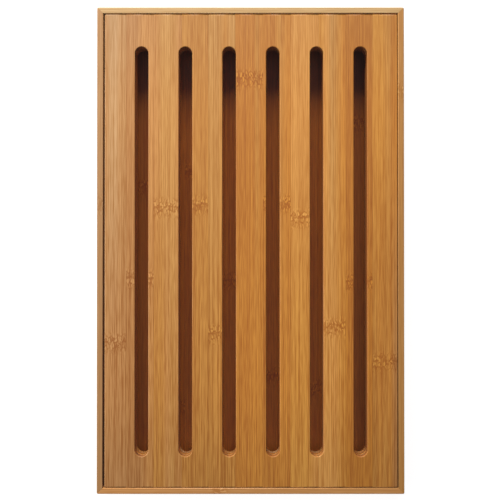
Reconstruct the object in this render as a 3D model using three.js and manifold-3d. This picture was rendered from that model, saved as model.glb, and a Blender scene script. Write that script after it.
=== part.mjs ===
// Bread board with a crumb tray, in millimetres.
//
// A shallow bamboo tray has four mitred walls with a grooved-in floor of glued strips. A slotted
// bamboo board lies in it, flush with the rim, on a ledge at each end. Crumbs fall through the
// slots to the floor, and the board lifts straight out. The board is three plies of bamboo: its
// face and its back are strips glued edge to edge along it, with a core ply between them.
//
// X runs across the board, Y along it and Z up. The origin is under the middle of the tray.

import * as THREE from 'three';
import { mergeVertices } from 'three/addons/utils/BufferGeometryUtils.js';
import Module from 'manifold-3d';

const wasm = await Module();
wasm.setup();

// Tray
const trayWidth = 240;
const trayLength = 380;
const trayHeight = 35;
const wallThickness = 4.8;
const rimRounding = 0.5;
const trayCornerRadius = 1.2;

// Tray floor, held in a groove all round
const floorThickness = 4;
const floorLift = 3;
const grooveDepth = 2;
const floorFit = 0.1;
const floorEdgeRoom = 0.3;
const floorStripCount = 11;

// Ledges that carry the board
const ledgeWidth = 8;
const seatGap = 0.1;

// Board, with the room that it has in the tray and where it lies in that room
const boardSideRoom = 0.8;
const boardEndRoom = 0.6;
const boardSetRight = 0.4;
const boardSetForward = 0.2;
const facePlyThickness = 6;
const corePlyThickness = 6;
const backPlyThickness = 6;
const boardRounding = 0.6;
const boardCornerRadius = 1.2;

// Slots, with the board's margins beside the outer ones' middles and past all their ends, and how
// far the whole row lies to the front of the board's middle
const slotCount = 6;
const slotWidth = 10.5;
const slotSideMargin = 28.9;
const slotEndMargin = 24.6;
const slotSetForward = 0.65;

// Glued seams between the strips of the face, from the board's middle, as shares of the slot pitch
const seamShares = [-2.854, -2.227, -1.586, -0.974, -0.363, 0.273, 0.906, 1.541, 2.161, 2.773];

// Glued joints, and how far a cutting solid runs past what it cuts
const glueLine = 0.05;
const cutOverrun = 2;

// Fineness of the round stretches
const arcSteps = 6;
const roundingSteps = 2;

// Sizes worked out from those above
const innerWidth = trayWidth - 2 * wallThickness;
const innerLength = trayLength - 2 * wallThickness;
const floorWidth = innerWidth + 2 * (grooveDepth - floorEdgeRoom);
const floorLength = innerLength + 2 * (grooveDepth - floorEdgeRoom);
const floorUnderside = floorLift + floorFit;
const floorTop = floorUnderside + floorThickness;
const boardWidth = innerWidth - 2 * boardSideRoom;
const boardLength = innerLength - 2 * boardEndRoom;
const boardThickness = facePlyThickness + corePlyThickness + backPlyThickness;
const boardUnderside = trayHeight - boardThickness;
const slotPitch = (boardWidth - 2 * slotSideMargin) / (slotCount - 1);
const slotLength = boardLength - 2 * slotEndMargin;

const rimBamboo = new THREE.MeshStandardMaterial({ color: 0xbd8850, roughness: 0.5, metalness: 0 });
const floorBamboo = new THREE.MeshStandardMaterial({ color: 0xb58350, roughness: 0.55, metalness: 0 });
const ledgeBamboo = new THREE.MeshStandardMaterial({ color: 0xb98a56, roughness: 0.55, metalness: 0 });
const faceBamboo = new THREE.MeshStandardMaterial({ color: 0xc38647, roughness: 0.45, metalness: 0 });
const coreBamboo = new THREE.MeshStandardMaterial({ color: 0xb27a42, roughness: 0.6, metalness: 0 });
const backBamboo = new THREE.MeshStandardMaterial({ color: 0xbf8850, roughness: 0.5, metalness: 0 });

const breadBoard = new THREE.Group();

// A closed three.js geometry as a solid that can be cut
function solidFrom(geometry) {
  const bare = geometry.clone();
  bare.deleteAttribute('normal');
  bare.deleteAttribute('uv');
  const welded = mergeVertices(bare);
  const mesh = new wasm.Mesh({
    numProp: 3,
    vertProperties: new Float32Array(welded.attributes.position.array),
    triVerts: new Uint32Array(welded.index.array),
  });
  return new wasm.Manifold(mesh);
}

// A cut solid as a three.js geometry with flat faces
function geometryFrom(solid) {
  const { vertProperties, triVerts } = solid.getMesh();
  const shared = new THREE.BufferGeometry();
  shared.setAttribute('position', new THREE.BufferAttribute(vertProperties, 3));
  shared.setIndex(new THREE.BufferAttribute(triVerts, 1));
  const faceted = shared.toNonIndexed();
  faceted.computeVertexNormals();
  return faceted;
}

function addPiece(group, name, geometry, material) {
  const piece = new THREE.Mesh(geometry, material);
  piece.name = name;
  group.add(piece);
}

// A box between two corners, each given as [x, y, z]
function boxBetween(low, high) {
  const [width, length, height] = high.map((value, axis) => value - low[axis]);
  const middle = high.map((value, axis) => (value + low[axis]) / 2);
  return new THREE.BoxGeometry(width, length, height).translate(...middle);
}

// A rectangle about the origin with rounded corners, anticlockwise
function roundedRectangle(width, length, radius) {
  const x = width / 2 - radius;
  const y = length / 2 - radius;
  const outline = new THREE.Shape();
  outline.absarc(x, y, radius, 0, Math.PI / 2);
  outline.absarc(-x, y, radius, Math.PI / 2, Math.PI);
  outline.absarc(-x, -y, radius, Math.PI, 1.5 * Math.PI);
  outline.absarc(x, -y, radius, 1.5 * Math.PI, 2 * Math.PI);
  outline.closePath();
  return outline;
}

// A rectangular hole about the origin, clockwise
function rectangularHole(width, length) {
  const x = width / 2;
  const y = length / 2;
  const corners = [[x, y], [x, -y], [-x, -y], [-x, y]];
  return new THREE.Path(corners.map(([cornerX, cornerY]) => new THREE.Vector2(cornerX, cornerY)));
}

// A slot along Y with round ends, as a router leaves it, clockwise
function slotHole(centreX) {
  const radius = slotWidth / 2;
  const reach = slotLength / 2 - radius;
  const outline = new THREE.Path();
  outline.absarc(centreX, reach - slotSetForward, radius, Math.PI, 0, true);
  outline.absarc(centreX, -reach - slotSetForward, radius, 0, -Math.PI, true);
  outline.closePath();
  return outline;
}

// A flat blank from z = 0 up, with the arrises of its outline and its holes rounded
function roundedBlank(outline, height, rounding) {
  return new THREE.ExtrudeGeometry(outline, {
    depth: height - 2 * rounding,
    bevelEnabled: true,
    bevelThickness: rounding,
    bevelSize: rounding,
    bevelOffset: -rounding,
    bevelSegments: roundingSteps,
    curveSegments: arcSteps,
  }).translate(0, 0, rounding);
}

// What lies between two mitre cuts, for a wall along Y on the +X side of a tray of this size
function mitredWedge(width, length) {
  const outside = width / 2 + cutOverrun;
  const inside = width / 2 - wallThickness - cutOverrun;
  const glued = glueLine * Math.SQRT1_2;
  const outsideY = length / 2 + cutOverrun - glued;
  const insideY = length / 2 - wallThickness - cutOverrun - glued;
  const corners = [[outside, -outsideY], [outside, outsideY], [inside, insideY], [inside, -insideY]];
  const plan = new THREE.Shape(corners.map(([x, y]) => new THREE.Vector2(x, y)));
  const depth = trayHeight + 2 * cutOverrun;
  return new THREE.ExtrudeGeometry(plan, { depth, bevelEnabled: false }).translate(0, 0, -cutOverrun);
}

// The four walls, cut apart at the mitres from one frame with a groove for the floor
function buildWalls() {
  const outline = roundedRectangle(trayWidth, trayLength, trayCornerRadius);
  outline.holes.push(rectangularHole(innerWidth, innerLength));
  const frame = solidFrom(roundedBlank(outline, trayHeight, rimRounding));
  const grooveX = innerWidth / 2 + grooveDepth;
  const grooveY = innerLength / 2 + grooveDepth;
  const groove = solidFrom(boxBetween(
    [-grooveX, -grooveY, floorLift],
    [grooveX, grooveY, floorTop + floorFit],
  ));
  const grooved = frame.subtract(groove);
  const sides = [
    ['right', 0, trayWidth, trayLength],
    ['back', Math.PI / 2, trayLength, trayWidth],
    ['left', Math.PI, trayWidth, trayLength],
    ['front', -Math.PI / 2, trayLength, trayWidth],
  ];
  const walls = new THREE.Group();
  for (const [side, turn, across, along] of sides) {
    const wedge = solidFrom(mitredWedge(across, along).rotateZ(turn));
    addPiece(walls, `tray_wall_${side}`, geometryFrom(grooved.intersect(wedge)), rimBamboo);
  }
  return walls;
}

// The floor's strips, side by side, with their edges and ends in the groove
function buildFloor() {
  const floor = new THREE.Group();
  const pitch = floorWidth / floorStripCount;
  for (let index = 0; index < floorStripCount; index += 1) {
    const left = -floorWidth / 2 + index * pitch;
    const strip = boxBetween(
      [left + glueLine / 2, -floorLength / 2, floorUnderside],
      [left + pitch - glueLine / 2, floorLength / 2, floorTop],
    );
    addPiece(floor, `tray_floor_strip_${index + 1}`, strip, floorBamboo);
  }
  return floor;
}

// A ledge on the floor against each end wall
function buildLedges() {
  const ledges = new THREE.Group();
  const halfWidth = innerWidth / 2 - glueLine;
  const outerY = innerLength / 2 - glueLine;
  const innerY = outerY - ledgeWidth;
  const low = floorTop + glueLine;
  const high = boardUnderside - seatGap;
  const back = boxBetween([-halfWidth, innerY, low], [halfWidth, outerY, high]);
  const front = boxBetween([-halfWidth, -outerY, low], [halfWidth, -innerY, high]);
  addPiece(ledges, 'board_ledge_back', back, ledgeBamboo);
  addPiece(ledges, 'board_ledge_front', front, ledgeBamboo);
  return ledges;
}

// Where a saw cut goes: past the board on its outside, or half a glue line into a piece where it
// is glued. Inward is 1 at a piece's low side and -1 at its high side.
function cutPlane(place, isOutside, inward) {
  return isOutside ? place - inward * cutOverrun : place + inward * glueLine / 2;
}

// The part of the board between two long edges and two heights
function boardCut(board, [left, right], [low, high]) {
  const halfWidth = boardWidth / 2;
  const y = boardLength / 2 + cutOverrun;
  return board.intersect(solidFrom(boxBetween(
    [cutPlane(left, left <= -halfWidth, 1), -y, cutPlane(low, low <= 0, 1)],
    [cutPlane(right, right >= halfWidth, -1), y, cutPlane(high, high >= boardThickness, -1)],
  )));
}

// The slotted board, taken apart into its plies and their strips
function buildBoard() {
  const outline = roundedRectangle(boardWidth, boardLength, boardCornerRadius);
  for (let index = 0; index < slotCount; index += 1) {
    outline.holes.push(slotHole((index - (slotCount - 1) / 2) * slotPitch));
  }
  const whole = solidFrom(roundedBlank(outline, boardThickness, boardRounding));
  const coreLow = backPlyThickness;
  const coreHigh = backPlyThickness + corePlyThickness;
  const board = new THREE.Group();

  const addStrips = (name, edges, heights, material) => {
    for (let index = 0; index < edges.length - 1; index += 1) {
      const strip = boardCut(whole, [edges[index], edges[index + 1]], heights);
      addPiece(board, `${name}_${index + 1}`, geometryFrom(strip), material);
    }
  };
  const seams = seamShares.map((share) => share * slotPitch);
  const faceEdges = [-boardWidth / 2, ...seams, boardWidth / 2];
  const backEdges = faceEdges.map((edge) => -edge).reverse();
  addStrips('board_face_strip', faceEdges, [coreHigh, boardThickness], faceBamboo);
  const core = boardCut(whole, [-boardWidth / 2, boardWidth / 2], [coreLow, coreHigh]);
  addPiece(board, 'board_core_ply', geometryFrom(core), coreBamboo);
  addStrips('board_back_strip', backEdges, [0, coreLow], backBamboo);

  board.position.set(boardSetRight, -boardSetForward, boardUnderside);
  return board;
}

breadBoard.add(buildWalls(), buildFloor(), buildLedges(), buildBoard());

export default breadBoard;
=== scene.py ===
# %% [markdown]
# # A bamboo bread board in its crumb tray
#
# The object is a shallow tray of bamboo with a slotted bamboo board lying in it. The CAD model
# gives every piece its place and size. This lesson gives the pieces their looks: fine meshes with
# soft arrises, and bamboo that is different in every strip. Lengths are in metres, X runs across
# the board, Y along it and Z up.

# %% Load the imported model
import math

import bmesh
import bpy
from mathutils import Matrix, Vector


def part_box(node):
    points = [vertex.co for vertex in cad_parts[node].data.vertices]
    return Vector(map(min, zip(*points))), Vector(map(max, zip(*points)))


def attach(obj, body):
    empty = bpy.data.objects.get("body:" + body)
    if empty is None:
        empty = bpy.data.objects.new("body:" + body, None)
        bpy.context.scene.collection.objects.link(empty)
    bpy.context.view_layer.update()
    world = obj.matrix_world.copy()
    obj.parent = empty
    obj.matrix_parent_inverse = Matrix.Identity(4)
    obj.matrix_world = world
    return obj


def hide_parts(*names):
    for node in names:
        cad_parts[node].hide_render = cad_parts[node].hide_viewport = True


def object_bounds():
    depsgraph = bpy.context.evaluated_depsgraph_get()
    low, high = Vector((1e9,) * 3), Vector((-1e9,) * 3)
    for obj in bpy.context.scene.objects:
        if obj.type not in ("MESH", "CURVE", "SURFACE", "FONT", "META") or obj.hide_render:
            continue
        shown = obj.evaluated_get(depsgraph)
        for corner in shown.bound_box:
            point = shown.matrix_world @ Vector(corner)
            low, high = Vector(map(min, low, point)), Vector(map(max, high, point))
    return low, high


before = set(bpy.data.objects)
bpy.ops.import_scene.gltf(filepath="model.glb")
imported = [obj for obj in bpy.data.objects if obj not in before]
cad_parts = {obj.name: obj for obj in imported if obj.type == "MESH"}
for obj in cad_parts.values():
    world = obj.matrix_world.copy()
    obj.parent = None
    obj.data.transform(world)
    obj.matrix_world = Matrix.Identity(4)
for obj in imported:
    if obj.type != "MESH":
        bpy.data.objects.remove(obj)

cad_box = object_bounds()
MM = 0.001
print("CAD box", [tuple(round(c, 4) for c in corner) for corner in cad_box])

# %% [markdown]
# ## Sizes from the frame
#
# The CAD nodes say where everything is, so nearly all sizes are read from their boxes. Only what a
# box can't say has a value of its own here: the roundings, the slots and the glue lines.

# %% Sizes
tray_low, tray_high = cad_box
tray_width, tray_length, tray_height = tray_high - tray_low
left_wall_low, left_wall_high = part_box("tray_wall_left")
wall_thickness = left_wall_high.x - left_wall_low.x

STRIP_COUNT = 11
face_boxes = [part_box(f"board_face_strip_{n}") for n in range(1, STRIP_COUNT + 1)]
back_boxes = [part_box(f"board_back_strip_{n}") for n in range(1, STRIP_COUNT + 1)]
core_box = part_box("board_core_ply")
board_low = Vector((face_boxes[0][0].x, face_boxes[0][0].y, back_boxes[0][0].z))
board_high = Vector((face_boxes[-1][1].x, face_boxes[-1][1].y, face_boxes[-1][1].z))
board_width, board_length, board_thickness = board_high - board_low
board_middle = (board_low + board_high) / 2

BOARD_ARRIS = 0.6 * MM
RIM_ARRIS = 0.5 * MM
CORNER_RADIUS = 1.2 * MM
GLUE_LINE = 0.05 * MM
GROOVE_DEPTH = 2 * MM
GROOVE_FIT = 0.1 * MM
SLOT_COUNT = 6
SLOT_WIDTH = 10.5 * MM
SLOT_SIDE_MARGIN = 28.9 * MM
SLOT_END_MARGIN = 24.6 * MM
SLOT_SET_FORWARD = 0.65 * MM
slot_pitch = (board_width - 2 * SLOT_SIDE_MARGIN) / (SLOT_COUNT - 1)
slot_length = board_length - 2 * SLOT_END_MARGIN
print("board", [round(size / MM, 2) for size in (board_width, board_length, board_thickness)])

# %% [markdown]
# ## The camera
#
# The photo looks straight down. The tray's outline in it gives the scale, and the parts of the slot
# ends that show inside the slots give the height of the camera and the point that it stands over.
# The outline is a little wider at the bottom, so the camera leans by less than half a degree.

# %% Camera
PHOTO_SIZE_PX = 500
OUTLINE_WIDTH_PX = 307.4
OBJECT_MIDDLE_PX = (250.55, 250.25)
PLUMB_POINT_Y_PX = 233
CAMERA_ABOVE_RIM = 0.715
CAMERA_LEAN = math.radians(0.39)
SENSOR_WIDTH_MM = 36
CLIP_START = 0.01
CLIP_END = 50
px_per_metre = OUTLINE_WIDTH_PX / tray_width


def make_camera():
    focal_px = px_per_metre * CAMERA_ABOVE_RIM
    plumb_y = (OBJECT_MIDDLE_PX[1] - PLUMB_POINT_Y_PX) / px_per_metre
    below_axis_px = focal_px * math.tan(math.atan(plumb_y / CAMERA_ABOVE_RIM) + CAMERA_LEAN)
    half = PHOTO_SIZE_PX / 2
    lens = bpy.data.cameras.new("photo_camera")
    lens.sensor_width = SENSOR_WIDTH_MM
    lens.lens = focal_px / PHOTO_SIZE_PX * SENSOR_WIDTH_MM
    lens.shift_x = (half - OBJECT_MIDDLE_PX[0]) / PHOTO_SIZE_PX
    lens.shift_y = (OBJECT_MIDDLE_PX[1] - half - below_axis_px) / PHOTO_SIZE_PX
    lens.clip_start = CLIP_START
    lens.clip_end = CLIP_END
    camera = bpy.data.objects.new("photo_camera", lens)
    camera.location = (0, plumb_y, tray_height + CAMERA_ABOVE_RIM)
    camera.rotation_euler = (CAMERA_LEAN, 0, 0)
    bpy.context.scene.collection.objects.link(camera)
    bpy.context.scene.camera = camera
    return camera


camera = make_camera()
print("lens", round(camera.data.lens, 2), "mm, shift", round(camera.data.shift_y, 4))

# %% [markdown]
# ## Light and ground
#
# A wide softbox stands beyond the board's back edge. It leaves the upper ends of the slots dark and
# lights their lower ends. A weaker one on the left lights the face but not the slots' floors, and an
# even, slightly blue glow fills the shadows. The ground glows, as a white sweep that is lit on its
# own does, so that it stays white, and beyond it the camera sees plain white. It lies a hair below
# the tray, and from below it can be seen through, so that the underside can be looked at too.
#
# A lens lays a faint veil of white over dark parts that lie beside white ones. A curve in the view
# settings does the same, so that the slots aren't quite black.

# %% Light
LIGHT_AIM = Vector((0, -0.2, 0.03))
SOFTBOX_TINT = (1.0, 0.985, 0.965)

# For each softbox: place, width, height and watts
SOFTBOXES = {
    "back_softbox": (Vector((-0.26, 1.16, 0.71)), 1.0, 0.5, 24.7),
    "left_softbox": (Vector((-0.90, 0.02, 0.62)), 0.6, 0.5, 5.4),
}
FILL_STRENGTH = 0.085
FILL_TINT = (0.9, 1.0, 1.2, 1)
SWEEP_SIZE = 8.0
SWEEP_GLOW = 0.93
SWEEP_TONE = 0.25
SWEEP_DROP = 0.05 * MM
VEIL = 0.005
WHITE = (1, 1, 1, 1)


def make_softboxes():
    for name, (place, width, height, watts) in SOFTBOXES.items():
        light = bpy.data.lights.new(name, "AREA")
        light.shape = "RECTANGLE"
        light.size = width
        light.size_y = height
        light.energy = watts
        light.color = SOFTBOX_TINT
        lamp = bpy.data.objects.new(name, light)
        lamp.location = place
        lamp.rotation_euler = (LIGHT_AIM - place).to_track_quat("-Z", "Y").to_euler()
        lamp.visible_camera = False
        bpy.context.scene.collection.objects.link(lamp)


def make_fill_light():
    world = bpy.data.worlds.new("studio")
    world.use_nodes = True
    background = world.node_tree.nodes["Background"]
    background.inputs["Strength"].default_value = FILL_STRENGTH
    bpy.context.scene.world = world
    seen = world.node_tree.nodes.new("ShaderNodeBackground")
    mix = world.node_tree.nodes.new("ShaderNodeMixShader")
    path = world.node_tree.nodes.new("ShaderNodeLightPath")
    links = world.node_tree.links
    links.new(path.outputs["Is Camera Ray"], mix.inputs[0])
    links.new(background.outputs[0], mix.inputs[1])
    links.new(seen.outputs[0], mix.inputs[2])
    links.new(mix.outputs[0], world.node_tree.nodes["World Output"].inputs[0])
    background.inputs["Color"].default_value = FILL_TINT
    seen.inputs["Color"].default_value = WHITE


def make_ground():
    half = SWEEP_SIZE / 2
    plan = ((-half, -half), (half, -half), (half, half), (-half, half))
    corners = [(x, y, -SWEEP_DROP) for x, y in plan]
    mesh = bpy.data.meshes.new("white_sweep")
    mesh.from_pydata(corners, [], [(0, 1, 2, 3)])
    ground = bpy.data.objects.new("white_sweep", mesh)
    bpy.context.scene.collection.objects.link(ground)
    white = bpy.data.materials.new("white_sweep")
    white.use_nodes = True
    shader = white.node_tree.nodes["Principled BSDF"]
    shader.inputs["Base Color"].default_value = (SWEEP_TONE, SWEEP_TONE, SWEEP_TONE, 1)
    shader.inputs["Roughness"].default_value = 1
    shader.inputs["Specular IOR Level"].default_value = 0
    shader.inputs["Emission Color"].default_value = WHITE
    shader.inputs["Emission Strength"].default_value = SWEEP_GLOW
    sides = white.node_tree.nodes.new("ShaderNodeNewGeometry")
    clear = white.node_tree.nodes.new("ShaderNodeBsdfTransparent")
    mix = white.node_tree.nodes.new("ShaderNodeMixShader")
    links = white.node_tree.links
    links.new(sides.outputs["Backfacing"], mix.inputs[0])
    links.new(shader.outputs[0], mix.inputs[1])
    links.new(clear.outputs[0], mix.inputs[2])
    links.new(mix.outputs[0], white.node_tree.nodes["Material Output"].inputs[0])
    mesh.materials.append(white)


def develop():
    """Standard colours, with the veil over the dark parts"""
    view = bpy.context.scene.view_settings
    view.view_transform = "Standard"
    view.use_curve_mapping = True
    view.curve_mapping.black_level = (-VEIL, -VEIL, -VEIL)
    view.curve_mapping.update()


make_softboxes()
make_fill_light()
make_ground()
develop()
print("softboxes", list(SOFTBOXES))

# %% [markdown]
# ## Short calls for nodes
#
# Shaders and Geometry Nodes are both trees of nodes, and writing them out takes many lines. This
# class has one short call for each kind of node that the lesson uses often. A feed can be a number
# or the output of another node.

# %% A node tree with short calls
class Wiring:
    def __init__(self, tree):
        self.tree = tree

    def node(self, kind, feeds=None, **settings):
        made = self.tree.nodes.new(kind)
        for name, value in settings.items():
            setattr(made, name, value)
        for socket, value in (feeds or {}).items():
            self.feed(made.inputs[socket], value)
        return made

    def feed(self, socket, value):
        if isinstance(value, bpy.types.NodeSocket):
            self.tree.links.new(value, socket)
        else:
            socket.default_value = value

    def math(self, operation, first, second=0.0, third=0.0, clamp=False):
        feeds = {0: first, 1: second, 2: third}
        return self.node("ShaderNodeMath", feeds, operation=operation, use_clamp=clamp).outputs[0]

    def vector_math(self, operation, first, second=(0, 0, 0)):
        made = self.node("ShaderNodeVectorMath", {0: first, 1: second}, operation=operation)
        return made.outputs["Value" if operation == "DOT_PRODUCT" else "Vector"]

    def join(self, x, y, z):
        return self.node("ShaderNodeCombineXYZ", {0: x, 1: y, 2: z}).outputs[0]

    def split(self, vector):
        return self.node("ShaderNodeSeparateXYZ", {0: vector}).outputs

    def ramp(self, value, low, high, to_low=0.0, to_high=1.0):
        """An eased step from to_low, where the value is low, to to_high, where it is high"""
        feeds = {
            "Value": value, "From Min": low, "From Max": high, "To Min": to_low, "To Max": to_high}
        return self.node("ShaderNodeMapRange", feeds, interpolation_type="SMOOTHSTEP").outputs[0]

    def mix(self, share, first, second):
        made = self.node("ShaderNodeMix", {0: share, 6: first, 7: second}, data_type="RGBA")
        return made.outputs[2]


SOCKETS = {
    "Float": "NodeSocketFloat",
    "Int": "NodeSocketInt",
    "Vector": "NodeSocketVector",
    "Geometry": "NodeSocketGeometry",
    "Material": "NodeSocketMaterial",
}


def new_group(name, kind, inputs, outputs):
    tree = bpy.data.node_groups.new(name, kind)
    for socket, sort in inputs:
        tree.interface.new_socket(socket, in_out="INPUT", socket_type=SOCKETS[sort])
    for socket, sort in outputs:
        tree.interface.new_socket(socket, in_out="OUTPUT", socket_type=SOCKETS[sort])
    wiring = Wiring(tree)
    return wiring, wiring.node("NodeGroupInput").outputs, wiring.node("NodeGroupOutput")


# %% [markdown]
# ## Bamboo fibres
#
# Bamboo has no rings. It is a bundle of fibres that run straight from one knuckle to the next, some
# pale and some brown, each about a millimetre wide. Noise that is stretched along Y gives them, in
# four sizes: broad bands, lines, fine lines and hairs. A steep ramp makes the lines crisp. The noise
# is three-dimensional, so a line on the face carries on down the edge of the strip.

# %% Fibre group
# For each layer: how wide and how long its features are, and its blur, where less is crisper
FIBRE_LAYERS = {
    "Bands": (5 * MM, 240 * MM, 0.2),
    "Lines": (1.0 * MM, 260 * MM, 0.14),
    "Fine lines": (0.7 * MM, 120 * MM, 0.12),
    "Hairs": (0.5 * MM, 16 * MM, 0.15),
}
NOISE_DETAIL = 1.0
NOISE_ROUGHNESS = 0.5
SEED_STEP = 7.31
SWAY = 0.3 * MM
SWAY_SIZE = (30 * MM, 70 * MM)
CURL = 2.2 * MM
CURL_SIZE = (1.8 * MM, 4.5 * MM)


def flat_noise(wiring, x, y, seed, size, detail=0.0):
    """Noise over two coordinates with features of this size, from 0 to 1"""
    place = wiring.join(
        wiring.math("DIVIDE", x, size[0]), wiring.math("DIVIDE", y, size[1]), seed)
    feeds = {"Vector": place, "Scale": 1.0, "Detail": detail}
    return wiring.node("ShaderNodeTexNoise", feeds).outputs[0]


def stretched_noise(wiring, place, seed, across, along, blur):
    """Solid noise that is stretched along Y, from 0 to 1, in steps that a small blur makes crisp"""
    shrunk = wiring.vector_math("MULTIPLY", place, (1 / across, 1 / along, 1 / across))
    feeds = {
        "Vector": shrunk, "W": seed, "Scale": 1.0, "Detail": NOISE_DETAIL,
        "Roughness": NOISE_ROUGHNESS,
    }
    noise = wiring.node("ShaderNodeTexNoise", feeds, noise_dimensions="4D")
    return wiring.ramp(noise.outputs[0], 0.5 - blur, 0.5 + blur)


def make_fibre_group():
    wiring, given, result = new_group(
        "bamboo_fibres", "ShaderNodeTree",
        [("Vector", "Vector"), ("Seed", "Float"), ("Curl", "Float")],
        [(layer, "Float") for layer in FIBRE_LAYERS],
    )
    seed = wiring.math("MULTIPLY", given["Seed"], SEED_STEP)
    x, y, z = wiring.split(given["Vector"])
    sway = wiring.math("SUBTRACT", flat_noise(wiring, x, y, seed, SWAY_SIZE), 0.5)
    swayed = wiring.math("MULTIPLY_ADD", sway, 2 * SWAY, x)
    curl = wiring.math(
        "SUBTRACT", flat_noise(wiring, x, y, seed, CURL_SIZE, NOISE_DETAIL), 0.5)
    curled = wiring.math("MULTIPLY", wiring.math("MULTIPLY", curl, given["Curl"]), 2 * CURL)
    place = wiring.join(wiring.math("ADD", swayed, curled), y, z)
    for layer, (across, along, blur) in FIBRE_LAYERS.items():
        noise = stretched_noise(wiring, place, seed, across, along, blur)
        wiring.feed(result.inputs[layer], noise)
    return wiring.tree


fibre_group = make_fibre_group()
print("group", fibre_group.name, "has", len(fibre_group.nodes), "nodes")

# %% [markdown]
# ## Knuckles
#
# At a knuckle the culm had a wall across it, and the fibres there part and join again like a net.
# On a planed strip that leaves pale flames with brown borders, a wavy brown line where the wall was,
# and smudges that run out below it. Cells that are stretched along the grain make the net: their
# borders are brown, and some of their middles pale.

# %% Knuckle group
CELL_SIZE = (1.4 * MM, 4.4 * MM)
CELL_BEND = 2.4 * MM
KNUCKLE_WAVE = 4.4 * MM
KNUCKLE_WAVE_SIZE = (3.2 * MM, 8 * MM)
KNUCKLE_WAVE_DETAIL = 2.0
SMUDGE_SIZE = (1.6 * MM, 16 * MM)
LINE_SHARE = 0.9
SMUDGE_SHARE = 0.6

# Each pair is where a mark is absent and where it is full. These lie above or below the wavy line
NET_ABOVE = (10 * MM, 1 * MM)
NET_BELOW = (-12 * MM, -2 * MM)
LINE_EDGE = (1.2 * MM, 0.2 * MM)
SMUDGE_ABOVE = (0.5 * MM, -1 * MM)
SMUDGE_BELOW = (-12 * MM, -2 * MM)

# These are distances from a cell's border, and the lots that cells draw
BORDER_EDGE = (0.2, 0.06)
FLAME_EDGE = (0.08, 0.2)
CELL_LOTS = (0.15, 0.45)

# And these are levels of the smudges' noise
LINE_BREAKS = (0.3, 0.6)
SMUDGE_BREAKS = (0.42, 0.7)


def make_knuckle_group():
    wiring, given, result = new_group(
        "bamboo_knuckle", "ShaderNodeTree",
        [("Vector", "Vector"), ("Seed", "Float"), ("Place", "Float")],
        [("Near", "Float"), ("Dark", "Float"), ("Pale", "Float")],
    )
    x, y, z = wiring.split(given["Vector"])
    seed = wiring.math("MULTIPLY", given["Seed"], SEED_STEP)
    wave = flat_noise(wiring, x, z, seed, KNUCKLE_WAVE_SIZE, KNUCKLE_WAVE_DETAIL)
    wave = wiring.math("SUBTRACT", wave, 0.5)
    away = wiring.math("MULTIPLY_ADD", wave, KNUCKLE_WAVE, wiring.math("SUBTRACT", y, given["Place"]))
    near = wiring.math(
        "MULTIPLY", wiring.ramp(away, *NET_ABOVE), wiring.ramp(away, *NET_BELOW))

    bend = wiring.math(
        "SUBTRACT", flat_noise(wiring, x, y, seed, CELL_SIZE, NOISE_DETAIL), 0.5)
    bent = wiring.math("MULTIPLY_ADD", bend, CELL_BEND, x)
    cell_place = wiring.join(
        wiring.math("DIVIDE", bent, CELL_SIZE[0]), wiring.math("DIVIDE", away, CELL_SIZE[1]), seed)
    borders = wiring.node(
        "ShaderNodeTexVoronoi", {"Vector": cell_place, "Scale": 1.0}, feature="DISTANCE_TO_EDGE")
    cells = wiring.node("ShaderNodeTexVoronoi", {"Vector": cell_place, "Scale": 1.0})
    lot = wiring.split(cells.outputs["Color"])
    border = wiring.ramp(borders.outputs["Distance"], *BORDER_EDGE)
    border = wiring.math("MULTIPLY", border, wiring.ramp(lot[1], *CELL_LOTS))
    flame = wiring.ramp(borders.outputs["Distance"], *FLAME_EDGE)
    flame = wiring.math("MULTIPLY", flame, wiring.ramp(lot[0], *CELL_LOTS))

    smudges = flat_noise(wiring, x, y, seed, SMUDGE_SIZE, NOISE_DETAIL)
    line = wiring.ramp(wiring.math("ABSOLUTE", away), *LINE_EDGE)
    line = wiring.math("MULTIPLY", line, wiring.ramp(smudges, *LINE_BREAKS))
    run_out = wiring.math(
        "MULTIPLY", wiring.ramp(away, *SMUDGE_BELOW), wiring.ramp(away, *SMUDGE_ABOVE))
    smudge = wiring.math("MULTIPLY", run_out, wiring.ramp(smudges, *SMUDGE_BREAKS))
    dark = wiring.math("MULTIPLY", border, near)
    dark = wiring.math("MAXIMUM", dark, wiring.math("MULTIPLY", line, LINE_SHARE))
    dark = wiring.math("MAXIMUM", dark, wiring.math("MULTIPLY", smudge, SMUDGE_SHARE))
    pale = wiring.math("MULTIPLY", flame, near)
    wiring.feed(result.inputs["Near"], near)
    wiring.feed(result.inputs["Dark"], dark)
    wiring.feed(result.inputs["Pale"], wiring.math("SUBTRACT", pale, dark, clamp=True))
    return wiring.tree


knuckle_group = make_knuckle_group()
print("group", knuckle_group.name, "has", len(knuckle_group.nodes), "nodes")

# %% [markdown]
# ## End grain and arrises
#
# Where a strip is cut across, its fibres show as brown dots in paler flesh, and the end drinks more
# oil, so it is darker and duller. A second group finds the rounded arrises by their slanting
# normals, and the faces that look along X. The arrises are sanded by hand, so they are duller than
# the faces, and they are painted a little paler as a painted highlight.

# %% End grain and arris groups
DOT_SIZE = 0.85 * MM
DOT_EDGE = (0.45, 0.2)

# How far a normal's part has to turn: where the effect is absent and where it is full
END_FACING = (0.35, 0.8)
SIDE_FACING = (0.6, 0.95)
ARRIS_FROM_SIDE = (0.03, 0.3)
ARRIS_FROM_FACE = (0.995, 0.9)


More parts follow.
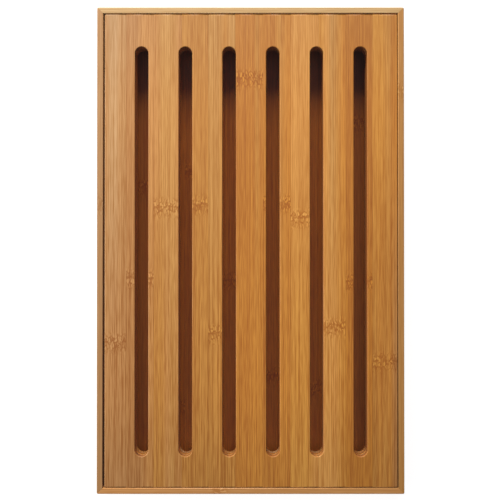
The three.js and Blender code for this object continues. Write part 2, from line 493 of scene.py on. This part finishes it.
def make_end_grain_group():
    wiring, given, result = new_group(
        "bamboo_end_grain", "ShaderNodeTree",
        [("Vector", "Vector"), ("Normal", "Vector"), ("Grain axis", "Vector")],
        [("End", "Float"), ("Dots", "Float")],
    )
    facing = wiring.vector_math("DOT_PRODUCT", given["Normal"], given["Grain axis"])
    end = wiring.ramp(wiring.math("ABSOLUTE", facing), *END_FACING)
    x, y, z = wiring.split(given["Vector"])
    flat = wiring.join(wiring.math("DIVIDE", x, DOT_SIZE), wiring.math("DIVIDE", z, DOT_SIZE), 0.0)
    cells = wiring.node("ShaderNodeTexVoronoi", {"Vector": flat, "Scale": 1.0}, voronoi_dimensions="2D")
    dots = wiring.ramp(cells.outputs["Distance"], *DOT_EDGE)
    wiring.feed(result.inputs["End"], end)
    wiring.feed(result.inputs["Dots"], wiring.math("MULTIPLY", dots, end))
    return wiring.tree


def make_arris_group():
    wiring, given, result = new_group(
        "arris_and_side_masks", "ShaderNodeTree",
        [("Normal", "Vector")],
        [("Arris", "Float"), ("Side", "Float")],
    )
    parts = wiring.split(given["Normal"])
    sideways = wiring.math("ABSOLUTE", parts["X"])
    upward = wiring.math("ABSOLUTE", parts["Z"])
    slant = wiring.math(
        "MULTIPLY", wiring.ramp(upward, *ARRIS_FROM_SIDE), wiring.ramp(upward, *ARRIS_FROM_FACE))
    wiring.feed(result.inputs["Arris"], slant)
    wiring.feed(result.inputs["Side"], wiring.ramp(sideways, *SIDE_FACING))
    return wiring.tree


end_grain_group = make_end_grain_group()
arris_group = make_arris_group()
print("groups", end_grain_group.name, arris_group.name)

# %% [markdown]
# ## One bamboo, many strips
#
# Every strip is the same stuff, so one function makes all the materials from the four groups. What
# differs is the run of tones across a strip, how its fibres stand out, where its knuckle is and the
# seed. The Principled shader stays in the material, and what is the same all over is set on it.
#
# The face's tones fade to a second row towards the front, where its fibres also stand out more.
# Its middle is painted a little brighter and its ends a little darker and greyer, as painted light
# and shade, and the arrises at its slot ends are painted browner as painted shade. In all three
# plies the faces that look along X, the sides of the slots among them, are painted browner as
# painted shade. Everywhere the coat of oil is thicker on pale fibres than on brown ones.

# %% Bamboo material
GRAIN_ALONG_Y = Vector((0, 1, 0))
GRAIN_ALONG_X = Vector((1, 0, 0))
QUARTER_TURN = math.pi / 2
FAR_AWAY = 10.0
WOOD_GLOSS = 0.7
WOOD_ROUGHNESS = 0.47
OIL_ROUGHNESS = 0.47
OIL = 1.2
FACE_CONTRAST = (0.95, 1.45)
KNUCKLE_SHARE = 0.75

# Where the face changes along its length, and where a normal turns to the underside
FADE = (110 * MM, -110 * MM)
# Where the painted light of the middle gives way to the painted shade of the ends
END_FALLOFF_RANGE = (100 * MM, 190 * MM)
SLOT_ENDS = (180 * MM, 170 * MM)
UNDER_FACING = (-0.4, -0.8)

# How strongly the cut ends and their dots are tinted, how much the arrises are paled as a painted
# highlight, and how much the arrises at the slot ends are browned as painted shade
END_SHARE = 0.3
DOT_SHARE = 0.15
ARRIS_HIGHLIGHT_SHARE = 0.5
SLOT_END_SHADE_SHARE = 0.5

# What is added to the roughness, and the relief of hairs, fine lines and knuckles
LINE_DULLNESS = 0.05
END_DULLNESS = 0.2
ARRIS_DULLNESS = 0.12
HAIR_RELIEF = 0.3
KNUCKLE_RELIEF = -0.8
RELIEF_HEIGHT = 0.006 * MM
RELIEF_STRENGTH = 0.5

# How much each layer of fibres takes part, and what a strip's own tone is multiplied by
FIBRE_WEIGHTS = {"Bands": 0.08, "Lines": 0.24, "Fine lines": 0.3, "Hairs": 0.38}
PALE_FIBRE = (1.26, 1.4, 1.7, 1)
BROWN_FIBRE = (0.74, 0.6, 0.3, 1)
KNUCKLE_BROWN = (0.62, 0.41, 0.06, 1)
FLAME = (1.3, 1.48, 1.95, 1)
# The arrises' paler tint is a painted highlight
ARRIS_HIGHLIGHT_TINT = (1.08, 1.15, 1.32, 1)
# Painted light and shade along the face: its middle brighter, its ends darker and greyer
PAINTED_LIT_MIDDLE = (1.05, 1.06, 1.06, 1)
PAINTED_SHADED_END = (0.94, 0.98, 1.06, 1)


def tone(hex_colour):
    """A screen colour such as "c89050" as the linear colour that sockets hold"""
    channels = [int(hex_colour[i:i + 2], 16) / 255 for i in (0, 2, 4)]
    linear = [((c + 0.055) / 1.055) ** 2.4 if c > 0.04045 else c / 12.92 for c in channels]
    return (*linear, 1.0)


def run_of_tones(wiring, share, tones):
    """A colour that goes through these tones, which lie side by side in equal steps"""
    ramp = wiring.node("ShaderNodeValToRGB", {"Fac": share})
    elements = ramp.color_ramp.elements
    for index, colour in enumerate(tones):
        place = (index + 0.5) / len(tones)
        element = elements[index] if index < 2 else elements.new(place)
        element.position = place
        element.color = colour
    return ramp.outputs["Color"]


def bamboo_material(name, seed, tones, edges, front_tones=None, under_tone=None, knuckle=None,
                    axis=GRAIN_ALONG_Y, contrast=1.0, painted_side_shade=0.0, roughness=WOOD_ROUGHNESS,
                    oil=OIL):
    """tones: side by side from one edge to the other. front_tones: those at a face strip's front
    end. under_tone: the tone of its underside, where that differs. edges: where the tones lie
    across the grain. knuckle: its place along the grain. contrast: how much its fibres and
    knuckle stand out, though a face strip's fibres go by FACE_CONTRAST. Its side shade: how
    brown its faces that look along X are painted, as painted shade. oil: how thick its coat of
    oil is on pale fibres"""
    material = bpy.data.materials.new(name)
    material.use_nodes = True
    wiring = Wiring(material.node_tree)
    shader = material.node_tree.nodes["Principled BSDF"]
    coordinates = wiring.node("ShaderNodeTexCoord").outputs
    place = coordinates["Object"]
    if axis == GRAIN_ALONG_X:
        feeds = {"Vector": place, "Rotation": (0, 0, QUARTER_TURN)}
        place = wiring.node("ShaderNodeMapping", feeds).outputs[0]

    def group(tree, feeds):
        made = wiring.node("ShaderNodeGroup", node_tree=tree)
        for socket, value in feeds.items():
            wiring.feed(made.inputs[socket], value)
        return made.outputs

    mark = group(knuckle_group, {
        "Vector": place, "Seed": seed, "Place": FAR_AWAY if knuckle is None else knuckle})
    fibres = group(fibre_group, {"Vector": place, "Seed": seed, "Curl": mark["Near"]})
    ends = group(end_grain_group, {
        "Vector": place, "Normal": coordinates["Normal"], "Grain axis": tuple(axis)})
    arris = group(arris_group, {"Normal": coordinates["Normal"]})

    across, along = wiring.split(place)[:2]
    share = wiring.node("ShaderNodeMapRange", {
        "Value": across, "From Min": edges[0], "From Max": edges[1]}).outputs[0]
    base = run_of_tones(wiring, share, [TONES[key] for key in tones])
    if front_tones:
        front = run_of_tones(wiring, share, [TONES[key] for key in front_tones])
        base = wiring.mix(wiring.ramp(along, *FADE), base, front)
    if under_tone:
        downward = wiring.ramp(wiring.split(coordinates["Normal"])["Z"], *UNDER_FACING)
        base = wiring.mix(downward, base, TONES[under_tone])

    knuckle_share = KNUCKLE_SHARE * contrast
    lines = -0.5
    for layer, weight in FIBRE_WEIGHTS.items():
        lines = wiring.math("MULTIPLY_ADD", fibres[layer], weight, lines)
    if front_tones:
        contrast = wiring.ramp(along, *FADE, *FACE_CONTRAST)
    brown = wiring.math("MULTIPLY_ADD", lines, contrast, 0.5, clamp=True)
    tint = wiring.mix(brown, PALE_FIBRE, BROWN_FIBRE)
    tint = wiring.mix(mark["Pale"], tint, FLAME)
    tint = wiring.mix(wiring.math("MULTIPLY", mark["Dark"], knuckle_share), tint, KNUCKLE_BROWN)
    tint = wiring.mix(wiring.math("MULTIPLY", ends["End"], END_SHARE), tint, BROWN_FIBRE)
    tint = wiring.mix(wiring.math("MULTIPLY", ends["Dots"], DOT_SHARE), tint, KNUCKLE_BROWN)
    # Painted shade: the faces that look along X, the sides of the slots among them, are painted browner
    tint = wiring.mix(wiring.math("MULTIPLY", arris["Side"], painted_side_shade), tint, KNUCKLE_BROWN)
    # Painted highlight: the rounded arrises are painted paler
    tint = wiring.mix(wiring.math("MULTIPLY", arris["Arris"], ARRIS_HIGHLIGHT_SHARE), tint, ARRIS_HIGHLIGHT_TINT)
    if front_tones:
        from_middle = wiring.math("ABSOLUTE", along)
        # Painted shade: the arrises at the slot ends are painted browner
        slot_end_shade = wiring.math("MULTIPLY", ends["End"], wiring.ramp(from_middle, *SLOT_ENDS))
        slot_end_shade = wiring.math("MULTIPLY", slot_end_shade, arris["Arris"])
        tint = wiring.mix(wiring.math("MULTIPLY", slot_end_shade, SLOT_END_SHADE_SHARE), tint, BROWN_FIBRE)
        # Painted light and shade along the face: a brighter middle, darker and greyer ends
        end_falloff = wiring.mix(wiring.ramp(from_middle, *END_FALLOFF_RANGE), PAINTED_LIT_MIDDLE, PAINTED_SHADED_END)
        tint = wiring.vector_math("MULTIPLY", tint, end_falloff)
    wiring.feed(shader.inputs["Base Color"], wiring.vector_math("MULTIPLY", base, tint))

    rough = wiring.math("MULTIPLY_ADD", fibres["Lines"], LINE_DULLNESS, roughness)
    rough = wiring.math("MULTIPLY_ADD", ends["End"], END_DULLNESS, rough)
    rough = wiring.math("MULTIPLY_ADD", arris["Arris"], ARRIS_DULLNESS, rough, clamp=True)
    wiring.feed(shader.inputs["Roughness"], rough)
    relief = wiring.math("MULTIPLY_ADD", fibres["Hairs"], HAIR_RELIEF, fibres["Fine lines"])
    relief = wiring.math("MULTIPLY_ADD", mark["Dark"], KNUCKLE_RELIEF, relief)
    feeds = {"Height": relief, "Distance": RELIEF_HEIGHT, "Strength": RELIEF_STRENGTH}
    wiring.feed(shader.inputs["Normal"], wiring.node("ShaderNodeBump", feeds).outputs[0])
    coat = wiring.math("MULTIPLY_ADD", brown, -oil, oil)
    coat = wiring.math("SUBTRACT", coat, mark["Dark"], clamp=True)
    wiring.feed(shader.inputs["Coat Weight"], coat)
    shader.inputs["Coat Roughness"].default_value = OIL_ROUGHNESS
    shader.inputs["Specular IOR Level"].default_value = WOOD_GLOSS
    return material


# %% [markdown]
# ## Tones
#
# Carbonised bamboo runs from pale straw to rust. The names below are this lesson's own, and each
# strip takes a few of them, side by side. The two reddest are painted shade and painted bounce
# light for the upper side of the tray's floor, which is redder and darker than its bamboo.

# %% Tones of bamboo
TONES = {
    "cream": tone("cda368"),
    "sand": tone("d1914c"),
    "tan": tone("bf843c"),
    "almond": tone("c6935a"),
    "biscuit": tone("c18849"),
    "ash": tone("b5824a"),
    "oat": tone("bb7d3c"),
    "nut": tone("b57634"),
    "fawn": tone("c5833a"),
    "wheat": tone("c88a3d"),
    "honey": tone("c8832d"),
    "toffee": tone("c27e29"),
    "copper": tone("c2771a"),
    "amber": tone("cb7f20"),
    "straw": tone("d68f3a"),
    "gold": tone("d28a2c"),
    "ginger": tone("bd7214"),
    "caramel": tone("c57c24"),
    # Painted shade and painted bounce light for the floor's upper side, redder and darker than its
    # bamboo
    "russet": tone("c76c14"),
    "chestnut": tone("b16016"),
}

# %% [markdown]
# ## The slotted board as a rule
#
# The board is one shape with a rule: a rounded rectangle with six round-ended slots, and every
# arris rounded alike. A mesh with a Bevel modifier would do it for one board, but each of the
# three plies and each strip is a cut from it. So a Geometry Nodes tree sweeps the arris profile
# round all the outlines, fills the two faces, and keeps what lies between two corners of a cut.
#
# A slot is a circle pulled apart along Y. The circle is turned by half a step, so that its points
# fall into two equal halves.

# %% Geometry Nodes tree for a cut of the slotted board
ARRIS_STEPS = 5
ARC_POINTS = 48
CORNER_STEPS = 5
WELD = 0.001 * MM
OPEN_EDGE_BELOW = 1.5

BOARD_INPUTS = [
    ("Width", "Float"), ("Length", "Float"), ("Thickness", "Float"), ("Corner radius", "Float"),
    ("Arris radius", "Float"), ("Slot count", "Int"), ("Slot width", "Float"),
    ("Slot length", "Float"), ("Slot pitch", "Float"), ("Slot shift", "Float"),
    ("Face middle", "Vector"),
    ("Cut low", "Vector"), ("Cut high", "Vector"), ("Material", "Material"),
]


def arris_profile(wiring, thickness, radius):
    """A line from the top face down to the bottom one, with a quarter round at both ends. X is how
    far it stands out and Y how deep it is"""
    count = 2 * (ARRIS_STEPS + 1)
    line = wiring.node("GeometryNodeMeshLine", {"Count": count}).outputs[0]
    index = wiring.node("GeometryNodeInputIndex").outputs[0]
    mirrored = wiring.math("GREATER_THAN", index, ARRIS_STEPS + 0.5)
    from_end = wiring.math("SUBTRACT", float(count - 1), index)
    step = wiring.math("MINIMUM", index, from_end)
    angle = wiring.math("MULTIPLY", step, QUARTER_TURN / ARRIS_STEPS)
    sine = wiring.math("SINE", angle)
    cosine = wiring.math("COSINE", angle)
    out = wiring.math("MULTIPLY", wiring.math("SUBTRACT", sine, 1.0), radius)
    depth = wiring.math("MULTIPLY", wiring.math("SUBTRACT", 1.0, cosine), radius)
    below = wiring.math("MULTIPLY_ADD", depth, -2.0, thickness)
    depth = wiring.math("MULTIPLY_ADD", mirrored, below, depth)
    moved = wiring.node(
        "GeometryNodeSetPosition", {"Geometry": line, "Position": wiring.join(out, depth, 0.0)})
    return wiring.node("GeometryNodeMeshToCurve", {"Mesh": moved.outputs[0]}).outputs[0]


def slot_outlines(wiring, given):
    radius = wiring.math("MULTIPLY", given["Slot width"], 0.5)
    half_step = math.pi / ARC_POINTS
    wide = wiring.math("DIVIDE", radius, math.cos(half_step))
    circle = wiring.node("GeometryNodeCurvePrimitiveCircle", {"Resolution": ARC_POINTS, "Radius": wide})
    turned = wiring.node(
        "GeometryNodeTransform", {"Geometry": circle.outputs[0], "Rotation": (0, 0, half_step)})
    y = wiring.split(wiring.node("GeometryNodeInputPosition").outputs[0])[1]
    reach = wiring.math("SUBTRACT", wiring.math("MULTIPLY", given["Slot length"], 0.5), radius)
    pull = wiring.join(0.0, wiring.math("MULTIPLY", wiring.math("SIGN", y), reach), 0.0)
    stadium = wiring.node("GeometryNodeSetPosition", {"Geometry": turned.outputs[0], "Offset": pull})
    clockwise = wiring.node("GeometryNodeReverseCurve", {"Curve": stadium.outputs[0]})
    gaps = wiring.math("SUBTRACT", given["Slot count"], 1.0)
    first = wiring.math("MULTIPLY", wiring.math("MULTIPLY", gaps, given["Slot pitch"]), -0.5)
    row = wiring.node("GeometryNodeMeshLine", {
        "Count": given["Slot count"],
        "Start Location": wiring.join(first, given["Slot shift"], 0.0),
        "Offset": wiring.join(given["Slot pitch"], 0.0, 0.0),
    })
    copies = wiring.node(
        "GeometryNodeInstanceOnPoints", {"Points": row.outputs[0], "Instance": clockwise.outputs[0]})
    return wiring.node("GeometryNodeRealizeInstances", {"Geometry": copies.outputs[0]}).outputs[0]


def filled_end(wiring, walls, selection, depth, flip):
    loops = wiring.node("GeometryNodeMeshToCurve", {"Mesh": walls, "Selection": selection})
    filled = wiring.node("GeometryNodeFillCurve", {"Curve": loops.outputs[0]}, mode="NGONS").outputs[0]
    if flip:
        filled = wiring.node("GeometryNodeFlipFaces", {"Mesh": filled}).outputs[0]
    down = wiring.join(0.0, 0.0, wiring.math("MULTIPLY", depth, -1.0))
    return wiring.node("GeometryNodeTransform", {"Geometry": filled, "Translation": down}).outputs[0]


def make_board_tree():
    wiring, given, result = new_group(
        "slotted_board_cut", "GeometryNodeTree", BOARD_INPUTS, [("Geometry", "Geometry")])
    outline = wiring.node("GeometryNodeCurvePrimitiveQuadrilateral", {
        "Width": given["Width"], "Height": given["Length"]})
    rounded = wiring.node("GeometryNodeFilletCurve", {
        "Curve": outline.outputs[0], "Count": CORNER_STEPS, "Radius": given["Corner radius"],
    }, mode="POLY")
    outlines = wiring.node("GeometryNodeJoinGeometry")
    wiring.feed(outlines.inputs[0], rounded.outputs[0])
    wiring.feed(outlines.inputs[0], slot_outlines(wiring, given))
    upright = wiring.node("GeometryNodeSetCurveNormal", {"Curve": outlines.outputs[0]}, mode="Z_UP")
    profile = arris_profile(wiring, given["Thickness"], given["Arris radius"])
    walls = wiring.node(
        "GeometryNodeCurveToMesh", {"Curve": upright.outputs[0], "Profile Curve": profile}).outputs[0]

    faces_at_edge = wiring.node("GeometryNodeInputMeshEdgeNeighbors").outputs[0]
    open_edge = wiring.math("LESS_THAN", faces_at_edge, OPEN_EDGE_BELOW)
    height = wiring.split(wiring.node("GeometryNodeInputPosition").outputs[0])[2]
    middle_depth = wiring.math("MULTIPLY", given["Thickness"], -0.5)
    is_top = wiring.math("GREATER_THAN", height, middle_depth)
    top_edge = wiring.math("MULTIPLY", open_edge, is_top)
    low_edge = wiring.math("SUBTRACT", open_edge, top_edge)
    closed = wiring.node("GeometryNodeJoinGeometry")
    wiring.feed(closed.inputs[0], walls)
    wiring.feed(closed.inputs[0], filled_end(wiring, walls, top_edge, 0.0, False))
    wiring.feed(closed.inputs[0], filled_end(wiring, walls, low_edge, given["Thickness"], True))
    welded = wiring.node(
        "GeometryNodeMergeByDistance", {"Geometry": closed.outputs[0], "Distance": WELD})
    board = wiring.node(
        "GeometryNodeTransform", {"Geometry": welded.outputs[0], "Translation": given["Face middle"]})

    size = wiring.vector_math("SUBTRACT", given["Cut high"], given["Cut low"])
    both = wiring.vector_math("ADD", given["Cut high"], given["Cut low"])
    block = wiring.node("GeometryNodeMeshCube", {"Size": size})
    block_middle = wiring.vector_math("MULTIPLY", both, (0.5, 0.5, 0.5))
    placed = wiring.node(
        "GeometryNodeTransform", {"Geometry": block.outputs[0], "Translation": block_middle})
    cut = wiring.node("GeometryNodeMeshBoolean", operation="INTERSECT", solver="EXACT")
    wiring.feed(cut.inputs["Mesh 2"], board.outputs[0])
    wiring.feed(cut.inputs["Mesh 2"], placed.outputs[0])
    real = wiring.node("GeometryNodeRealizeInstances", {"Geometry": cut.outputs[0]})
    painted = wiring.node(
        "GeometryNodeSetMaterial", {"Geometry": real.outputs[0], "Material": given["Material"]})
    wiring.feed(result.inputs[0], painted.outputs[0])
    return wiring.tree


board_tree = make_board_tree()
print("tree", board_tree.name, "has", len(board_tree.nodes), "nodes")

# %% [markdown]
# ## From a tree to a plain mesh
#
# The modifier's inputs are set by their sockets' identifiers before the object is first evaluated.
# Then the result becomes a plain mesh and the modifier goes. Flat faces keep flat shading and only
# the rounded ones are smooth, so a broad face isn't shaded by the arris beside it.

# %% Turn a cut into a piece
FLAT_COSINE = 0.99999
CUT_ROOM = 2 * MM


def shade_round_faces(mesh):
    for polygon in mesh.polygons:
        polygon.use_smooth = max(abs(part) for part in polygon.normal) < FLAT_COSINE


def keep_piece(name, mesh, body, node):
    """Puts a finished mesh on its body, in the place of its CAD node"""
    shade_round_faces(mesh)
    piece = bpy.data.objects.new(name, mesh)
    bpy.context.scene.collection.objects.link(piece)
    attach(piece, body)
    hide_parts(node)
    return piece


def evaluated_cut(tree, values):
    carrier = bpy.data.objects.new("carrier", bpy.data.meshes.new("carrier"))
    bpy.context.scene.collection.objects.link(carrier)
    modifier = carrier.modifiers.new("cut", "NODES")
    modifier.node_group = tree
    for socket in tree.interface.items_tree:
        if socket.in_out == "INPUT":
            modifier[socket.identifier] = values[socket.name]
    graph = bpy.context.evaluated_depsgraph_get()
    mesh = bpy.data.meshes.new_from_object(carrier.evaluated_get(graph))
    carrier.modifiers.remove(modifier)
    bpy.data.objects.remove(carrier)
    return mesh


def board_piece(name, node, material):
    """The cut of the board that fills a CAD node's box, past it where the node is on the outside"""
    low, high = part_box(node)
    cut_low = [
        edge - CUT_ROOM if part - edge < WELD else part for part, edge in zip(low, board_low)]
    cut_high = [
        edge + CUT_ROOM if edge - part < WELD else part for part, edge in zip(high, board_high)]
    mesh = evaluated_cut(board_tree, {
        "Width": board_width, "Length": board_length, "Thickness": board_thickness,
        "Corner radius": CORNER_RADIUS, "Arris radius": BOARD_ARRIS,
        "Slot count": SLOT_COUNT, "Slot width": SLOT_WIDTH, "Slot length": slot_length,
        "Slot pitch": slot_pitch, "Slot shift": -SLOT_SET_FORWARD,
        "Face middle": (board_middle.x, board_middle.y, board_high.z),
        "Cut low": cut_low, "Cut high": cut_high, "Material": material,
    })
    mesh.name = name
    return keep_piece(name, mesh, "board", node)


# %% [markdown]
# ## Face strips
#
# Eleven strips are glued edge to edge for the face. In the photo their joints show only because
# neighbours differ: the strip on the left is pale and pink, the middle ones are copper, and most
# of the right half is golden. Each strip has one knuckle on this length, and its place is read off
# the photo, in pixels from the top.

# %% Make the face strips
# How brown the faces that look along X are painted, as painted shade on the sides of the slots
PAINTED_SIDE_SHADE = 0.4

# For each strip: its tones from left to right at the back and at the front, and its knuckle in pixels
FACE_STRIPS = [
    ("biscuit almond almond biscuit biscuit", "oat oat oat oat", 342),
    ("oat oat fawn fawn", "nut nut fawn", 278),
    ("fawn wheat wheat wheat fawn", "toffee toffee fawn wheat fawn", 207),
    ("toffee toffee toffee", "toffee toffee toffee", 204),
    ("wheat wheat honey wheat", "toffee honey toffee honey", 333),
    ("ginger copper ginger copper copper toffee copper", "copper amber amber amber amber", 78),
    ("copper copper honey amber", "copper copper amber amber", 203),
    ("straw straw straw straw", "gold gold gold straw", 217),
    ("gold straw wheat honey amber", "straw straw straw gold", 327),
    ("ginger ginger ginger", "ginger ginger ginger", 281),
    ("gold gold honey copper", "toffee caramel honey caramel nut", 361),
]


def x_of_pixel(pixel):
    return (pixel - OBJECT_MIDDLE_PX[0]) / px_per_metre


def y_of_pixel(pixel):
    return (OBJECT_MIDDLE_PX[1] - pixel) / px_per_metre


for number, (tones, front_tones, knuckle_px) in enumerate(FACE_STRIPS, start=1):
    low, high = face_boxes[number - 1]
    material = bamboo_material(
        f"face_bamboo_{number}", seed=number, tones=tones.split(), edges=(low.x, high.x),
        front_tones=front_tones.split(), knuckle=y_of_pixel(knuckle_px), painted_side_shade=PAINTED_SIDE_SHADE)
    board_piece(f"face_strip_{number}", f"board_face_strip_{number}", material)
print("face strips", STRIP_COUNT)

# %% [markdown]
# ## Back strips and core
#
# The back is glued like the face, with its own strips. The core's strips run across the board, so
# that the three plies hold each other flat, and what shows of it in the slots is end grain.

# %% Make the back strips and the core
BACK_TONES = "biscuit wheat almond biscuit wheat oat almond biscuit wheat fawn biscuit".split()
BACK_KNUCKLE_SHARES = [0.21, -0.3, 0.05, 0.38, -0.12, 0.3, -0.4, 0.14, -0.22, 0.42, -0.05]
BACK_SEED = 40
CORE_SEED = 70

for number, (name, share) in enumerate(zip(BACK_TONES, BACK_KNUCKLE_SHARES), start=1):
    low, high = back_boxes[number - 1]
    material = bamboo_material(
        f"back_bamboo_{number}", seed=BACK_SEED + number, tones=[name, name],
        edges=(low.x, high.x), knuckle=share * board_length, painted_side_shade=PAINTED_SIDE_SHADE)
    board_piece(f"back_strip_{number}", f"board_back_strip_{number}", material)

core_bamboo = bamboo_material(
    "core_bamboo", seed=CORE_SEED, tones=["honey", "amber", "honey"],
    edges=(core_box[0].y, core_box[1].y), axis=GRAIN_ALONG_X, painted_side_shade=PAINTED_SIDE_SHADE)
board_piece("core_ply", "board_core_ply", core_bamboo)
print("back strips", len(BACK_TONES), "and the core")

# %% [markdown]
# ## Tray walls
#
# A wall is one profile with two mitred ends, and its outer corner carries half of the tray's
# rounded corner. That is a sweep: the profile is set down at a few places along the wall, each
# point on its own line, and the rings are joined. A point that lies further in than the corner's
# radius goes straight to the mitre.

# %% Make the walls
CORNER_HALF_STEPS = 4
WALL_SEED = 20
WALL_CONTRAST = 0.6
MITRE_GLUE = GLUE_LINE * math.sqrt(0.5)


def wall_profile(groove_low, groove_high):
    """Points (inward, height) round a wall's section, with its arrises and the floor's groove"""
    def arc(centre_in, centre_up, start):
        for step in range(ARRIS_STEPS + 1):
            angle = start + QUARTER_TURN * step / ARRIS_STEPS
            yield (centre_in + RIM_ARRIS * math.cos(angle), centre_up + RIM_ARRIS * math.sin(angle))
    near, far = RIM_ARRIS, wall_thickness - RIM_ARRIS
    low, high = RIM_ARRIS, tray_height - RIM_ARRIS
    in_groove = wall_thickness - GROOVE_DEPTH
    groove = [
        (wall_thickness, groove_low), (in_groove, groove_low),
        (in_groove, groove_high), (wall_thickness, groove_high),
    ]
    half_turn = 2 * QUARTER_TURN
    return [
        *arc(near, low, half_turn), *arc(far, low, half_turn + QUARTER_TURN),
        *groove, *arc(far, high, 0.0), *arc(near, high, QUARTER_TURN),
    ]


def wall_rings(profile, across, along):
    """The profile at each place along a wall that lies on the +X side of a tray of this size"""
    rings = []
    for end in (-1, 1):
        steps = range(CORNER_HALF_STEPS + 1)
        for step in (reversed(steps) if end < 0 else steps):
            angle = QUARTER_TURN / 2 * step / CORNER_HALF_STEPS
            ring = []
            for inward, height in profile:
                reach = max(CORNER_RADIUS - inward, 0.0)
                corner = max(inward, CORNER_RADIUS)
                x = across / 2 - corner + reach * math.cos(angle)
                y = along / 2 - corner + reach * math.sin(angle) - MITRE_GLUE
                ring.append(Vector((x, end * y, height)))
            rings.append(ring)
    return rings


def skin_rings(name, rings):
    shape = bmesh.new()
    rows = [[shape.verts.new(point) for point in ring] for ring in rings]
    for first, second in zip(rows, rows[1:]):
        for index in range(len(first)):
            after = (index + 1) % len(first)
            shape.faces.new((first[index], first[after], second[after], second[index]))
    shape.faces.new(rows[0])
    shape.faces.new(rows[-1])
    bmesh.ops.remove_doubles(shape, verts=shape.verts, dist=WELD)
    bmesh.ops.recalc_face_normals(shape, faces=shape.faces)
    mesh = bpy.data.meshes.new(name)
    shape.to_mesh(mesh)
    shape.free()
    return mesh


floor_low, floor_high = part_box("tray_floor_strip_1")
profile = wall_profile(floor_low.z - GROOVE_FIT, floor_high.z + GROOVE_FIT)

# For each wall: its turn in quarters, its tone, and where its knuckle is
WALLS = [
    ("right", 0, "tan", y_of_pixel(89)),
    ("back", 1, "cream", None),
    ("left", 2, "ash", y_of_pixel(204)),
    ("front", 3, "sand", x_of_pixel(219)),
]
for side, quarters, wall_tone, knuckle in WALLS:
    is_long = quarters % 2 == 0
    size = (tray_width, tray_length) if is_long else (tray_length, tray_width)
    mesh = skin_rings(f"wall_{side}", wall_rings(profile, *size))
    mesh.transform(Matrix.Rotation(quarters * QUARTER_TURN, 4, "Z"))
    half = tray_width / 2 if is_long else tray_length / 2
    mesh.materials.append(bamboo_material(
        f"wall_bamboo_{side}", seed=WALL_SEED + quarters, tones=[wall_tone, wall_tone],
        edges=(-half, half), knuckle=knuckle,
        axis=GRAIN_ALONG_Y if is_long else GRAIN_ALONG_X, contrast=WALL_CONTRAST))
    keep_piece(f"wall_{side}", mesh, "tray", f"tray_wall_{side}")
print("walls", len(WALLS))

# %% [markdown]
# ## Tray floor
#
# The floor is a flat panel of glued strips, sanded flush. Its CAD solids already have that shape, so
# they stay, and only get their bamboo. Its knuckles lie where the slots show them in the photo. Its
# underside isn't in the photo, and has the paler tones of the board's back.

# %% Finish the floor's strips
# Painted shade and painted bounce light: the floor's upper side is russet, redder and darker than its
# bamboo
FLOOR_SHADED_TONES = [
    "russet russet", "chestnut chestnut russet russet", "chestnut russet", "russet russet",
    "russet russet", "russet russet", "russet russet", "chestnut russet", "russet chestnut",
    "russet russet chestnut chestnut", "russet russet",
]
FLOOR_KNUCKLE_SHARES = [
    0.08, 0.135, -0.33, 0.167, -0.066, 0.3, -0.267, -0.297, -0.29, 0.27, -0.35,
]
UNDERSIDE_TONES = "wheat fawn biscuit wheat oat wheat fawn biscuit wheat fawn wheat".split()
FLOOR_SEED = 100
FLOOR_ROUGHNESS = 0.3
FLOOR_OIL = 0.3

for number, (tones, share, under_tone) in enumerate(
        zip(FLOOR_SHADED_TONES, FLOOR_KNUCKLE_SHARES, UNDERSIDE_TONES), start=1):
    node = f"tray_floor_strip_{number}"
    low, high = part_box(node)
    material = bamboo_material(
        f"floor_bamboo_{number}", seed=FLOOR_SEED + number, tones=tones.split(),
        edges=(low.x, high.x), under_tone=under_tone, knuckle=share * tray_length,
        roughness=FLOOR_ROUGHNESS, oil=FLOOR_OIL)
    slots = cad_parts[node].data.materials
    slots.clear()
    slots.append(material)
print("floor strips", len(FLOOR_SHADED_TONES))

# %% [markdown]
# ## Ledges
#
# The two ledges are plain bars of bamboo with their arrises eased, glued to the floor and the walls.

# %% Make the ledges
LEDGE_SIDES = ("back", "front")
LEDGE_EASE = 0.4 * MM
LEDGE_EASE_STEPS = 3
ROUND = 0.5
LEDGE_SEED = 60
LEDGE_KNUCKLE = 60 * MM


def eased_bar(name, low, high):
    shape = bmesh.new()
    bmesh.ops.create_cube(shape, size=1)
    bmesh.ops.scale(shape, vec=high - low, verts=shape.verts)
    bmesh.ops.translate(shape, vec=(low + high) / 2, verts=shape.verts)
    bmesh.ops.bevel(
        shape, geom=shape.edges[:], offset=LEDGE_EASE, segments=LEDGE_EASE_STEPS, profile=ROUND,
        affect="EDGES")
    mesh = bpy.data.meshes.new(name)
    shape.to_mesh(mesh)
    shape.free()
    return mesh


for number, side in enumerate(LEDGE_SIDES):
    low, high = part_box(f"board_ledge_{side}")
    mesh = eased_bar(f"ledge_{side}", low, high)
    mesh.materials.append(bamboo_material(
        f"ledge_bamboo_{side}", seed=LEDGE_SEED + number, tones=["biscuit", "wheat"],
        edges=(low.y, high.y), knuckle=LEDGE_KNUCKLE, axis=GRAIN_ALONG_X))
    keep_piece(f"ledge_{side}", mesh, "tray", f"board_ledge_{side}")
print("ledges", len(LEDGE_SIDES))
